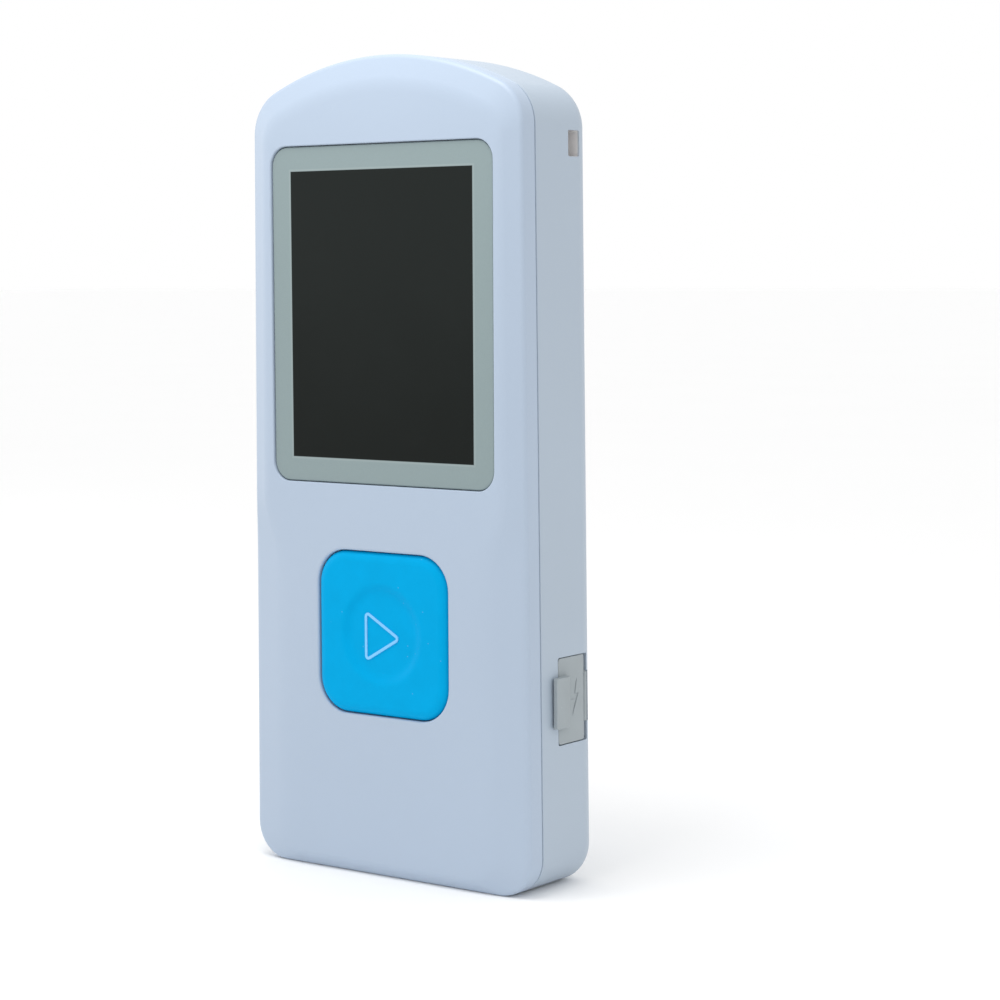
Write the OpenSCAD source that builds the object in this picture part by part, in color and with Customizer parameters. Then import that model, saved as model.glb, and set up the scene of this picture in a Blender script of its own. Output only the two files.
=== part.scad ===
// Handheld microchip scanner. A two-part pocket housing stands on its base and carries a
// display window, one scan button, a covered charging socket and a slot for a wrist strap.
// X runs to the right across the front, Y runs from the front to the back, Z runs up.
// The origin is on the base, in the middle of the width and of the thickness.

/* [Body] */
// Width of the body at its base
body_w = 43; // [42.8:0.1:43.6]
// Height from the base to the top of the crown
body_h = 100; // [100:0.5:102]
// Thickness from the front face to the back
body_d = 15; // [15:0.1:15.6]
// Narrowing of each side for each millimetre of height
side_taper = 0.009; // [0:0.001:0.009]
// Thickness of the side and back walls
wall = 1.5; // [1.3:0.1:1.6]
// Thickness of the front wall
front_wall = 1.8; // [1.6:0.1:2]
// Radius of the arched crown
crown_r = 41.6; // [41:0.2:44]
// Radius between a side and the crown
shoulder_r = 5.6; // [5.2:0.1:6]
// Radius of the bottom corners
corner_r = 4.5; // [4.2:0.1:4.8]
// Radius of the long edges at the back
back_round = 2.4; // [2:0.1:3]
// Depth of the front cover, from its face to the seam
seam_depth = 3.5; // [3.4:0.1:3.7]

/* [Bevel round the front] */
// Width of the bevel beside the display
bevel_side = 2.7; // [2.4:0.1:2.8]
// Width of the bevel beside the button, where fingers grip
bevel_grip = 5.4; // [5:0.1:5.5]
// Width of the bevel along the crown
bevel_crown = 3.5; // [3.2:0.1:3.6]
// Depth of the bevel
bevel_depth = 1.8; // [1.6:0.1:1.9]
// Height at which the grip ends and the bevel starts to narrow
grip_top = 38.5; // [37:0.5:40]
// Height over which the bevel narrows
grip_fade = 8; // [6:0.5:9]

/* [Display] */
// Width of the lens
lens_w = 34; // [33.6:0.1:34.2]
// Height of the lens
lens_h = 41; // [40.6:0.1:41.2]
// Corner radius of the lens
lens_r = 2.5; // [2:0.1:3]
// Thickness of the lens
lens_t = 0.65; // [0.6:0.01:0.68]
// Height of the lens centre above the base
lens_z = 68.9; // [68.5:0.1:69.1]
// Width of the lit picture
screen_w = 28.03; // [27:0.01:28.1]
// Height of the lit picture
screen_h = 35.04; // [34:0.01:35.1]

/* [Scan button] */
// Width and height of the button
button_w = 20; // [19.5:0.1:20.2]
// Corner radius of the button
button_r = 4.2; // [3.8:0.1:4.6]
// Height of the button centre above the base
button_z = 30.1; // [29.8:0.1:30.2]
// How far the button stands out of the front face
button_rise = 0.2; // [0.1:0.05:0.3]
// Diameter of the finger dish
dish_d = 12; // [11:0.2:12.4]
// How far the button moves when it is pressed
button_travel = 0.25; // [0.2:0.01:0.25]

/* [Charging port] */
// Height of the socket centre above the base
port_z = 22.9; // [22.5:0.1:23]
// Height of the rubber cover
flap_h = 10.4; // [10:0.1:10.6]
// Thickness of the rubber cover
flap_t = 0.9; // [0.8:0.05:0.9]
// Height of the pull tab
tab_h = 6.1; // [5.6:0.1:6.4]
// Height of the plug opening of the socket
socket_w = 7.6; // [7.5:0.1:7.7]

/* [Inside] */
// Thickness of the circuit board
board_t = 1; // [0.8:0.1:1]
// Width of the battery cell
battery_w = 30; // [28:0.5:30]
// Height of the battery cell
battery_h = 34; // [32:0.5:34]
// Width of the antenna coil
coil_w = 31; // [30:0.5:31]
// Height of the antenna coil
coil_h = 26; // [24:0.5:26]
// Diameter of the buzzer
buzzer_d = 9; // [8:0.2:9]

/* [Fasteners] */
// Radius of the screw thread
screw_r = 0.95; // [0.9:0.01:0.95]
// Radius of the screw head
screw_head_r = 1.75; // [1.6:0.05:1.75]
// Outer radius of the screw posts
post_r = 2.2; // [2.1:0.1:2.3]

/* [Hidden] */
$fn = 48;

// Depths of the layers, from the front to the back
front_y = -body_d / 2;
back_y = body_d / 2;
seam_y = front_y + seam_depth;
bevel_y = front_y + bevel_depth;
lens_face_y = front_y + 0.25;
lens_back_y = lens_face_y + lens_t;
tape_t = 0.1;
recess_y = lens_back_y + tape_t;
inner_front_y = front_y + front_wall;
gasket_t = 0.4;
glass_y = inner_front_y + gasket_t;
frame_t = 2.6;
frame_sheet = 0.3;
frame_back_y = glass_y + 0.1 + frame_t;
board_y = front_y + 7.6;
board_back_y = board_y + board_t;
inner_back_y = back_y - wall;

// Gaps
fit_gap = 0.15;
button_gap = 0.2;
flap_gap = 0.2;

// Housing
seam_groove = 0.25;
seam_groove_w = 0.3;
lip_gap = 0.12;
lip_t = 0.8;
lip_depth = 1.4;
back_edge_y = back_y - 2.8;
grip_levels = 6;
side_levels = concat(
    [12, 24],
    [for (i = [0:grip_levels]) grip_top + grip_fade * i / grip_levels],
    [66, 86]
);
// Bevel section: share of the way out to the side, and share of the bevel depth
bevel_section = [[0, 0], [0.12, 0.02], [0.25, 0.1], [0.84, 0.47], [0.95, 0.56], [0.99, 0.68], [1, 1]];
round_steps = 5;

// Fastener places as [x, z]
screw_places = [[-15.5, 7], [15.5, 7], [-11, 92.6], [11, 92.6]];
pilot_r = screw_r + 0.05;
hole_r = screw_r + 0.2;
screw_tip_y = seam_y - 0.6;
screw_seat_y = back_y - 2.6;

// Display
window_w = screen_w + 1;
window_h = screen_h + 1;
frame_w = 34.6;
frame_h = 43.4;
frame_z = lens_z - 0.9;
flex_w = 14;
connector_z = 41.7;

// Button
button_face_y = front_y - button_rise;
flange_w = button_w + 2.4;
flange_y = inner_front_y + 0.1;
flange_t = 0.7;
dish_depth = 0.35;
symbol_y = button_face_y + dish_depth - 0.05;
symbol_t = 0.4;
symbol_size = 4;
symbol_at = [-0.6, button_z - 0.33];
symbol_r = 0.5;
symbol_line = 0.36;
plunger_top_y = board_y - 4.3;
switch_w = 6.2;
switch_top_y = board_y - 3;
cavity_floor_y = board_y - 1.8;

// Charging port
side_x = body_w / 2 - side_taper * port_z;
flap_y0 = -0.4;
flap_y1 = 5.4;
flap_x0 = side_x - flap_t;
hinge_y = flap_y1 + 0.05;
hinge_x = flap_x0 + 0.6;
flap_fall = 0.3;
hinge_gap = 0.2;
socket_y = board_back_y;
socket_d = 2.6;
socket_mid_y = socket_y + socket_d / 2;
socket_x0 = 14.2;
socket_x1 = 19.7;
socket_sheet = 0.3;
tongue_x1 = socket_x1 - 0.9;
lug_t = 1.3;
lug_x = socket_x1 - 0.4;
tab_y0 = -1.85;
tab_y1 = 1.3;
port_wall_x = [18.9, 20.3];
port_wall_y = 6.6;
port_wall_h = 12.8;
port_rib_x = [18.1, 20];
port_rib_y = 4.3;
anchor_x = 19.3;
anchor_h = 6;
bead_r = 0.25;

// Strap slot in the right rear corner
slot_z = 88.95;
slot_h = 3.1;
slot_y0 = 2;
slot_y1 = 5;
slot_x0 = 15.7;
slot_x1 = 17.9;
slot_wall = 0.8;
slot_wall_x1 = 19.4;

// Inner parts as [x, z] or single heights
battery_at = [-2, 28];
battery_y = board_back_y + 0.5;
battery_t = 4;
buzzer_at = [-8, 53];
buzzer_t = 3;
sound_hole_r = 0.45;
sound_ring_r = 1.6;
header_at = [10, 51.8];
coil_z = 72.8;
coil_flange = 0.5;
coil_y = board_back_y + coil_flange;
coil_t = 2.7;
coil_band = 3;
label_z = 68;
label_w = 26;
label_h = 16;
label_r = 1.2;
label_gap = 0.2;
label_sink = 0.3;

// ---- Curves and sections ----

function mix(a, b, t) = a + (b - a) * t;

function smooth_step(t) = let (u = min(max(t, 0), 1)) u * u * (3 - 2 * u);

function arc(cx, cz, r, from, to, n) = [
    for (i = [0:n]) let (a = mix(from, to, i / n)) [cx + r * cos(a), cz + r * sin(a)]
];

function bezier(p, n) = [
    for (i = [0:n])
        let (t = i / n, u = 1 - t)
        u * u * u * p[0] + 3 * u * u * t * p[1] + 3 * u * t * t * p[2] + t * t * t * p[3]
];

// Half width of the body at a height
function half_width(z) = body_w / 2 - side_taper * z;

// Right half of the body outline as [x, z] points from the base to the crown, drawn in by
// its own amount beside the display, at the grip, at the base and at the crown
function half_outline(side, grip, base, crown, corner, shoulder) =
    let (
        arch_z = body_h - crown_r,
        arch = crown_r - crown,
        cx = half_width(body_h - 9) - side - shoulder,
        cz = arch_z + sqrt(pow(arch - shoulder, 2) - pow(cx, 2)),
        turn = atan2(cz - arch_z, cx)
    )
    concat(
        arc(half_width(0) - grip - corner, base + corner, corner, -90, 0, 6),
        [
            for (z = side_levels)
                let (drawn = mix(grip, side, smooth_step((z - grip_top) / grip_fade)))
                [half_width(z) - drawn, z]
        ],
        arc(cx, cz, shoulder, 0, turn, 8),
        [for (i = [1:12]) let (a = mix(turn, 90, i / 12)) [arch * cos(a), arch_z + arch * sin(a)]]
    );

// Whole outline: the right half and its mirror image, with one point at the crown
function outline(side, grip, base, crown, corner, shoulder) =
    let (half = half_outline(side, grip, base, crown, corner, shoulder), n = len(half))
    concat(half, [for (i = [2:n]) [-half[n - i].x, half[n - i].y]]);

function drawn_in(d) = outline(d, d, d, d, max(corner_r - d, 0.8), max(shoulder_r - d, 1));

function ring(points, y) = [for (p = points) [p.x, y, p.y]];

function between(a, b, t) = [for (i = [0:len(a) - 1]) mix(a[i], b[i], t)];

full_outline = drawn_in(0);
face_outline = outline(bevel_side, bevel_grip, 1.5, bevel_crown, 3.2, 4);
back_outline = outline(back_round, back_round, 3.5, 3.2, 2.4, 2.6);

// ---- Shared shapes ----

// Closed skin over rings of points that run from the front to the back
module loft(rings) {
    n = len(rings[0]);
    last = (len(rings) - 1) * n;
    walls = [
        for (j = [0:len(rings) - 2], i = [0:n - 1])
            let (a = j * n + i, b = j * n + (i + 1) % n)
            each [[a, b, b + n], [a, b + n, a + n]]
    ];
    front_cap = [for (i = [0:n - 1]) n - 1 - i];
    back_cap = [for (i = [0:n - 1]) last + i];
    polyhedron([for (r = rings) each r], concat(walls, [front_cap, back_cap]));
}

// Child outline in X and Z made solid from depth y0 to depth y1
module plate(y0, y1) {
    translate([0, y1, 0]) rotate([90, 0, 0]) linear_extrude(y1 - y0) children();
}

// Child outline in Y and Z made solid from x0 to x1
module beam(x0, x1) {
    translate([x0, 0, 0]) rotate([90, 0, 90]) linear_extrude(x1 - x0) children();
}

module rod(x, z, y0, y1, r) {
    translate([x, y0, z]) rotate([-90, 0, 0]) cylinder(h = y1 - y0, r = r);
}

module block(x, y, z) {
    translate([x[0], y[0], z[0]]) cube([x[1] - x[0], y[1] - y[0], z[1] - z[0]]);
}

module rounded(w, h, r) {
    square([w - 2 * r, h], center = true);
    square([w, h - 2 * r], center = true);
    for (sx = [-1, 1], sz = [-1, 1])
        translate([sx * (w / 2 - r), sz * (h / 2 - r)]) circle(r);
}

module rounded_plate(x, z, w, h, r, y0, y1) {
    plate(y0, y1) translate([x, z]) rounded(w, h, r);
}

module frame_plate(z, outer, inner, y0, y1) {
    plate(y0, y1) translate([0, z]) difference() {
        square(outer, center = true);
        square(inner, center = true);
    }
}

// Round wire along a list of points
module wire(path, r) {
    sides = 8;
    last = len(path) - 1;
    loft([
        for (i = [0:last])
            let (
                t = path[min(i + 1, last)] - path[max(i - 1, 0)],
                across = cross(t, [0, 1, 0]) / norm(cross(t, [0, 1, 0])),
                up = cross(across, t) / norm(cross(across, t))
            )
            [
                for (k = [0:sides - 1])
                    let (a = 360 * k / sides)
                    path[i] + r * (cos(a) * across + sin(a) * up)
            ]
    ]);
}

// ---- Housing ----

// Hollow rim that follows the side walls, between two distances in from the outside
module rim(outer, inner, y0, y1) {
    plate(y0, y1) difference() {
        polygon(drawn_in(outer));
        polygon(drawn_in(inner));
    }
}

module front_skin() {
    loft(concat(
        [
            for (s = bevel_section)
                ring(between(face_outline, full_outline, s[0]), mix(front_y, bevel_y, s[1]))
        ],
        [ring(full_outline, seam_y)]
    ));
}

module front_hollow() {
    step_y = inner_front_y + 1.1;
    plate(inner_front_y, step_y + 0.1) polygon(outline(bevel_side, bevel_grip - 2, 3, 4.5, 2, 3));
    plate(step_y, seam_y + 0.1) polygon(drawn_in(wall));
}

module front_cover() {
    color("#dbe5f5") difference() {
        union() {
            difference() {
                front_skin();
                front_hollow();
            }
            rim(wall - 0.5, wall + lip_gap + lip_t, seam_y - 0.6, seam_y);
            rim(wall + lip_gap, wall + lip_gap + lip_t, seam_y - 0.3, seam_y + lip_depth);
            for (p = screw_places) rod(p.x, p.y, inner_front_y - 0.5, board_y, post_r);
        }
        rounded_plate(0, lens_z, lens_w + 2 * fit_gap, lens_h + 2 * fit_gap, lens_r, front_y - 1, recess_y);
        plate(front_y, inner_front_y + 1) translate([0, lens_z])
            square([window_w, window_h], center = true);
        rounded_plate(0, button_z, button_w + 2 * button_gap, button_w + 2 * button_gap,
            button_r + button_gap, front_y - 1, inner_front_y + 1);
        for (p = screw_places) rod(p.x, p.y, inner_front_y + 0.3, board_y + 1, pilot_r);
    }
}

module rear_skin() {
    grooved = drawn_in(seam_groove);
    groove_y = seam_y + seam_groove_w;
    loft(concat(
        [ring(grooved, seam_y), ring(grooved, groove_y), ring(full_outline, groove_y)],
        [
            for (i = [0:round_steps])
                let (a = 90 * i / round_steps)
                ring(between(full_outline, back_outline, 1 - cos(a)), mix(back_edge_y, back_y, sin(a)))
        ]
    ));
}

module rear_hollow() {
    step_y = inner_back_y - 1.4;
    plate(seam_y - 1, step_y) polygon(drawn_in(wall));
    plate(step_y - 0.1, inner_back_y) polygon(drawn_in(wall + 1));
}

// Way for a strap: in at the side, round behind the corner and out at the back
module strap_way() {
    z = [slot_z - slot_h / 2, slot_z + slot_h / 2];
    block([slot_x0, body_w / 2 + 1], [slot_y0, slot_y1], z);
    block([slot_x0, slot_x1], [slot_y0, back_y + 1], z);
}

module port_recess() {
    z = [port_z - flap_h / 2 - flap_gap, port_z + flap_h / 2 + flap_gap];
    block([flap_x0 - 0.1, body_w / 2 + 1], [flap_y0 - flap_gap, hinge_y + hinge_gap], z);
    block([socket_x0, body_w / 2], [socket_y - 0.15, socket_y + socket_d + fit_gap],
        [port_z - socket_w / 2 - fit_gap, port_z + socket_w / 2 + fit_gap]);
    block([anchor_x, body_w / 2 + 1], [hinge_y, port_wall_y],
        [port_z - anchor_h / 2 - 0.1, port_z + anchor_h / 2 + 0.1]);
}

module rear_cover() {
    port_span = [port_z - port_wall_h / 2, port_z + port_wall_h / 2];
    color("#c9d5e8") difference() {
        union() {
            difference() {
                rear_skin();
                rear_hollow();
            }
            for (p = screw_places) rod(p.x, p.y, board_back_y + 0.05, inner_back_y + 0.5, post_r);
            block(port_wall_x, [flap_y0 - 0.6, port_wall_y], port_span);
            block(port_rib_x, [port_rib_y, port_wall_y], port_span);
            block([slot_x0 - 1, slot_wall_x1], [board_back_y + 0.1, inner_back_y + 0.4],
                [slot_z - slot_h / 2 - slot_wall, slot_z + slot_h / 2 + slot_wall]);
        }
        for (p = screw_places) {
            rod(p.x, p.y, board_back_y - 1, back_y, hole_r);
            rod(p.x, p.y, screw_seat_y, back_y + 1, screw_head_r + 0.2);
        }
        port_recess();
        strap_way();
        rounded_plate(0, label_z, label_w + 2 * label_gap, label_h + 2 * label_gap,
            label_r + label_gap, back_y - label_sink, back_y + 1);
        rod(buzzer_at.x, buzzer_at.y, inner_back_y - 1, back_y + 1, sound_hole_r);
        for (a = [45:90:315])
            rod(buzzer_at.x + sound_ring_r * cos(a), buzzer_at.y + sound_ring_r * sin(a),
                inner_back_y - 1, back_y + 1, sound_hole_r);
    }
}

module rear_label() {
    color("#dfe3e8") rounded_plate(0, label_z, label_w, label_h, label_r,
        back_y - label_sink, back_y - 0.1);
}

// Four screws join the covers through the board
module case_screws() {
    color("#8f9499") for (p = screw_places) difference() {
        union() {
            rod(p.x, p.y, screw_seat_y, screw_seat_y + 1.2, screw_head_r);
            rod(p.x, p.y, screw_tip_y + 0.8, screw_seat_y, screw_r);
            translate([p.x, screw_tip_y, p.y]) rotate([-90, 0, 0])
                cylinder(h = 0.8, r1 = 0.3, r2 = screw_r);
        }
        for (turn = [0, 90])
            translate([p.x, screw_seat_y + 0.9, p.y]) rotate([0, turn, 0])
                cube([2, 1, 0.45], center = true);
    }
}

// ---- Display ----

module display_lens() {
    color("#a3adb0") rounded_plate(0, lens_z, lens_w, lens_h, lens_r - fit_gap, lens_face_y, lens_back_y);
}

module lens_tape() {
    outer = [lens_w - 3.2, lens_h - 3.2];
    inner = [window_w + 0.2, window_h + 0.2];
    color("#303236") frame_plate(lens_z, outer, inner, lens_back_y, recess_y);
}

module display_gasket() {
    outer = [lens_w - 1.6, lens_h - 0.6];
    inner = [window_w + 0.6, window_h + 0.6];
    color("#2b2d30") frame_plate(lens_z, outer, inner, inner_front_y, glass_y);
}

module display_glass() {
    color("#25272b") plate(glass_y, glass_y + 1.3) translate([0, frame_z])
        square([frame_w - 2 * frame_sheet - 0.2, frame_h - 2 * frame_sheet - 0.2], center = true);
}

module display_backlight() {
    color("#f4f4ee") plate(glass_y + 1.3, frame_back_y - frame_sheet) translate([0, frame_z])
        square([frame_w - 2 * frame_sheet - 0.2, frame_h - 2 * frame_sheet - 0.2], center = true);
}

// Folded sheet tray, open at the front, that holds the glass and the backlight
module display_frame() {
    color("#b9bcc0") difference() {
        plate(glass_y + 0.1, frame_back_y) translate([0, frame_z])
            square([frame_w, frame_h], center = true);
        plate(glass_y - 1, frame_back_y - frame_sheet) translate([0, frame_z])
            square([frame_w - 2 * frame_sheet, frame_h - 2 * frame_sheet], center = true);
    }
}

module display_spacer() {
    color("#3a3d42") frame_plate(frame_z, [30, 38], [22, 30], frame_back_y, board_y);
}

// Ribbon cable from the bottom of the display to its connector on the board
module display_flex() {
    half_t = 0.08;
    path = bezier([
        [frame_back_y - 0.5, frame_z - frame_h / 2],
        [frame_back_y - 0.5, frame_z - frame_h / 2 - 2],
        [board_y - 0.6, connector_z + 4],
        [board_y - 0.6, connector_z + 1.5]
    ], 10);
    color("#c8832e") beam(-flex_w / 2, flex_w / 2) polygon(concat(
        [for (p = path) p - [half_t, 0]],
        [for (i = [1:len(path)]) path[len(path) - i] + [half_t, 0]]
    ));
}

module flex_connector() {
    color("#e8e2cf") block([-8, 8], [board_y - 1, board_y], [connector_z - 1.5, connector_z + 1.5]);
}

// ---- Scan button and its switch ----

// Rounded triangle that points right; r is the radius of its corners
module play_sign(size, r) {
    corners = [[-size * 0.42, size * 0.6], [-size * 0.42, -size * 0.6], [size * 0.63, 0]];
    hull() for (c = corners) translate(c) circle(r, $fn = 24);
}

module play_outline() {
    translate(symbol_at) difference() {
        play_sign(symbol_size, symbol_r);
        play_sign(symbol_size, symbol_r - symbol_line);
    }
}

module scan_symbol() {
    color("#bfe8fb") plate(symbol_y, symbol_y + symbol_t) play_outline();
}

module scan_button() {
    body_y = button_face_y + 0.2;
    hollow_y = front_y + 1.3;
    end_y = flange_y + flange_t;
    edge_w = button_w - 0.5;
    stem_r = 2.2;
    color("#12aaf0") difference() {
        union() {
            rounded_plate(0, button_z, edge_w, edge_w, button_r - 0.25, button_face_y, body_y);
            rounded_plate(0, button_z, button_w, button_w, button_r, body_y, end_y);
            rounded_plate(0, button_z, flange_w, flange_w, button_r + 0.8, flange_y, end_y);
        }
        translate([0, button_face_y - 0.01, button_z]) rotate([-90, 0, 0])
            cylinder(h = dish_depth + 0.01, r1 = dish_d / 2, r2 = dish_d / 2 - 0.9);
        plate(symbol_y - 1, symbol_y + symbol_t) play_outline();
        difference() {
            rounded_plate(0, button_z, button_w - 3, button_w - 3, button_r - 1.2, hollow_y, flange_y + 2);
            rod(0, button_z, hollow_y - 1, end_y, stem_r);
        }
    }
    color("#12aaf0") rod(0, button_z, end_y - 0.1, plunger_top_y - 0.05, stem_r);
}

module switch_base() {
    color("#26282b") difference() {
        plate(switch_top_y, board_y) translate([0, button_z]) square(switch_w, center = true);
        rod(0, button_z, switch_top_y - 1, cavity_floor_y, 2.5);
    }
}

module switch_cover() {
    color("#c3c6ca") difference() {
        plate(switch_top_y - 0.3, switch_top_y) translate([0, button_z]) square(switch_w, center = true);
        rod(0, button_z, switch_top_y - 1, switch_top_y + 1, 1.8);
    }
}

// Snap disc: a shallow steel dome that stands on its rim
module switch_dome() {
    rise = 0.3;
    r = 2.3;
    color("#d6d8da") translate([0, cavity_floor_y, button_z]) rotate([90, 0, 0])
        rotate_extrude() polygon([
            [0, rise], [r * 0.3, rise], [r * 0.7, rise * 0.75], [r, 0.1],
            [r, 0], [r * 0.7, rise * 0.45], [r * 0.3, rise * 0.7], [0, rise * 0.7]
        ]);
}

module switch_plunger() {
    color("#e9e7df") {
        rod(0, button_z, plunger_top_y, switch_top_y + 0.1, 1.7);
        rod(0, button_z, switch_top_y + 0.05, switch_top_y + 0.5, 2.3);
    }
}

// ---- Board ----

module main_board() {
    color("#1f6b45") difference() {
        plate(board_y, board_back_y) polygon(drawn_in(wall + 1.2));
        for (p = screw_places) rod(p.x, p.y, board_y - 1, board_back_y + 1, hole_r);
    }
}

module board_chips() {
    // Each chip as [x, z, width, height]
    chips = [[-8, 14, 7, 7], [8, 15, 6, 5], [-13, 24, 5, 5], [12, 33, 4, 3]];
    color("#1d1f22") for (c = chips) translate([c[0], 0, c[1]]) {
        plate(board_y - 0.9, board_y - 0.1) square([c[2], c[3]], center = true);
        plate(board_y - 0.2, board_y) square([c[2] - 0.8, c[3] - 0.8], center = true);
    }
}

module board_passives() {
    color("#b79b73") {
        for (i = [0:5]) block([-3 + 1.6 * i, -2.2 + 1.6 * i], [board_y - 0.5, board_y], [8, 9.4]);
        for (i = [0:3]) block([12, 13.4], [board_y - 0.5, board_y], [22 + 1.8 * i, 22.8 + 1.8 * i]);
        for (i = [0:4]) block([-14 + 1.6 * i, -13.2 + 1.6 * i], [board_y - 0.5, board_y], [32, 33.4]);
    }
}

module crystal() {
    color("#cdd0d3") rounded_plate(-8, 20.3, 3.2, 2.5, 0.4, board_y - 0.8, board_y);
}

// ---- Charging port ----

module usb_shell() {
    color("#c9ccd0") beam(socket_x0, socket_x1) translate([socket_mid_y, port_z]) difference() {
        rounded(socket_d, socket_w, 0.5);
        rounded(socket_d - 2 * socket_sheet, socket_w - 2 * socket_sheet, 0.25);
    }
}

module usb_tongue() {
    inner_d = socket_d - 2 * socket_sheet;
    inner_w = socket_w - 2 * socket_sheet;
    color("#232427") {
        beam(socket_x0, socket_x0 + 1.4) translate([socket_mid_y, port_z]) rounded(inner_d, inner_w, 0.25);
        block([socket_x0 + 1.3, tongue_x1], [socket_mid_y - 0.1, socket_mid_y + 0.5],
            [port_z - 2, port_z + 2]);
    }
}

module usb_contacts() {
    color("#d9b45a") for (i = [-2:2])
        block([socket_x0 + 1.4, tongue_x1 - 0.2], [socket_mid_y - 0.2, socket_mid_y - 0.1],
            [port_z + 0.7 * i - 0.17, port_z + 0.7 * i + 0.17]);
}

// Rubber cover: a flap in a recess of the side, with a lug for the socket and a pull tab
module port_cover() {
    tab_x = side_x + 0.15;
    tab_t = 0.8;
    color("#9aa4ab") {
        translate([0, 0, port_z - flap_h / 2]) linear_extrude(flap_h) polygon([
            [flap_x0, flap_y0], [side_x, flap_y0], [side_x, flap_y1 - 0.8],
            [side_x - flap_fall, flap_y1], [flap_x0, flap_y1]
        ]);
        translate([0, 0, port_z - tab_h / 2]) linear_extrude(tab_h) polygon([
            [tab_x, tab_y0 + 0.2], [tab_x + 0.2, tab_y0], [tab_x + tab_t, tab_y0],
            [tab_x + tab_t, tab_y1 - 0.6], [side_x - 0.1, tab_y1], [side_x - 0.1, flap_y0], [tab_x, flap_y0]
        ]);
        beam(lug_x, flap_x0 + 0.1) translate([socket_mid_y, port_z]) rounded(lug_t, socket_w - 1.4, 0.3);
        translate([hinge_x, hinge_y, port_z - anchor_h / 2]) cylinder(r = bead_r, h = anchor_h);
    }
}

// Root of the rubber strap, held in a pocket behind the flap's rear edge
module port_cover_anchor() {
    back = port_wall_y - 0.1;
    color("#8d979e") translate([0, 0, port_z - anchor_h / 2]) linear_extrude(anchor_h) polygon([
        [anchor_x + 0.1, hinge_y + 0.1], [hinge_x - 0.3, hinge_y + 0.1], [hinge_x - 0.38, back - 0.5],
        [hinge_x - 0.6, back], [anchor_x + 0.1, back]
    ]);
}

// ---- Power ----

module battery() {
    top_z = battery_h / 2;
    color("#c4c8cc") translate([battery_at.x, battery_y, battery_at.y]) {
        rounded_plate(0, 0, battery_w, battery_h, 1.2, 0, battery_t);
        block([1 - battery_w / 2, battery_w / 2 - 1], [1, 3], [top_z - 0.1, top_z + 1.2]);
    }
}

module battery_pad() {
    color("#f0efe6") rounded_plate(battery_at.x, battery_at.y, battery_w - 6, battery_h - 8, 1,
        battery_y + battery_t, inner_back_y);
}

module battery_leads() {
    bottom = [4, battery_y + 2, battery_at.y + battery_h / 2 + 1.2];
    top = [header_at.x, board_back_y + 1.6, header_at.y - 3.9];
    stub = [0, 0, 0.4];
    color("#c43a31") for (i = [-1, 1])
        let (start = bottom + i * [1, 0.5, 0], end = top + i * [0.7, 0.5, 0])
            wire(concat(
                [start],
                bezier([start + stub, start + 3 * stub, end - 3 * stub, end - stub], 8),
                [end]
            ), 0.35);
}

module battery_plug() {
    color("#f2f1ea") block([header_at.x - 2, header_at.x + 2], [board_back_y + 0.4, board_back_y + 2.7],
        [header_at.y - 3.9, header_at.y - 1.9]);
}

module battery_header() {
    color("#ece7d6") block([header_at.x - 3, header_at.x + 3], [board_back_y, board_back_y + 3.2],
        [header_at.y - 1.9, header_at.y + 1.9]);
}

// ---- Antenna and buzzer ----

// Bobbin with two flanges; the winding lies between them
module coil_former() {
    inner_w = coil_w - 2 * coil_band;
    inner_h = coil_h - 2 * coil_band;
    end_y = coil_y + coil_t + coil_flange;
    color("#2f3338") difference() {
        union() {
            rounded_plate(0, coil_z, inner_w, inner_h, 3, board_back_y, end_y);
            for (y = [board_back_y, coil_y + coil_t])
                rounded_plate(0, coil_z, coil_w + 0.4, coil_h + 0.2, 6, y, y + coil_flange);
        }
        rounded_plate(0, coil_z, inner_w - 2, inner_h - 2, 2, coil_y - 2, coil_y + coil_t + 2);
    }
}

module antenna_coil() {
    color("#b5602c") plate(coil_y, coil_y + coil_t) translate([0, coil_z]) difference() {
        rounded(coil_w, coil_h, 6);
        rounded(coil_w - 2 * coil_band, coil_h - 2 * coil_band, 3);
    }
}

module antenna_leads() {
    top_z = coil_z - coil_h / 2;
    color("#b5602c") for (i = [-1, 1])
        wire(bezier([
            [i, coil_y + 1, top_z], [i, coil_y + 1, top_z - 1.2],
            [1.5 * i, board_back_y + 0.3, top_z - 1], [1.5 * i, board_back_y + 0.3, top_z - 2.6]
        ], 6), 0.2);
}

module buzzer() {
    color("#222427") difference() {
        rod(buzzer_at.x, buzzer_at.y, board_back_y, board_back_y + buzzer_t, buzzer_d / 2);
        rod(buzzer_at.x, buzzer_at.y, board_back_y + buzzer_t - 0.6, board_back_y + buzzer_t + 1, 0.8);
    }
}

module buzzer_gasket() {
    color("#44484d") difference() {
        rod(buzzer_at.x, buzzer_at.y, board_back_y + buzzer_t, inner_back_y, buzzer_d / 2 - 0.3);
        rod(buzzer_at.x, buzzer_at.y, board_back_y, back_y, buzzer_d / 2 - 1.5);
    }
}

front_cover();
rear_cover();
display_lens();
lens_tape();
display_gasket();
display_frame();
display_glass();
display_backlight();
display_spacer();
display_flex();
flex_connector();
scan_button();
scan_symbol();
switch_base();
switch_cover();
switch_dome();
switch_plunger();
main_board();
board_chips();
board_passives();
crystal();
usb_shell();
usb_tongue();
usb_contacts();
port_cover();
port_cover_anchor();
battery();
battery_pad();
battery_leads();
battery_plug();
battery_header();
coil_former();
antenna_coil();
antenna_leads();
buzzer();
buzzer_gasket();
case_screws();
rear_label();
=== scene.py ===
"""Looks of a pocket microchip scanner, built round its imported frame.

Lengths are in millimetres until a piece is finished; the finished meshes are in metres.
X runs to the right across the front, Y from the front face to the back, Z up from the base.
"""
import math
from typing import NamedTuple

import bmesh
import bpy
from mathutils import Matrix, Vector


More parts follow.
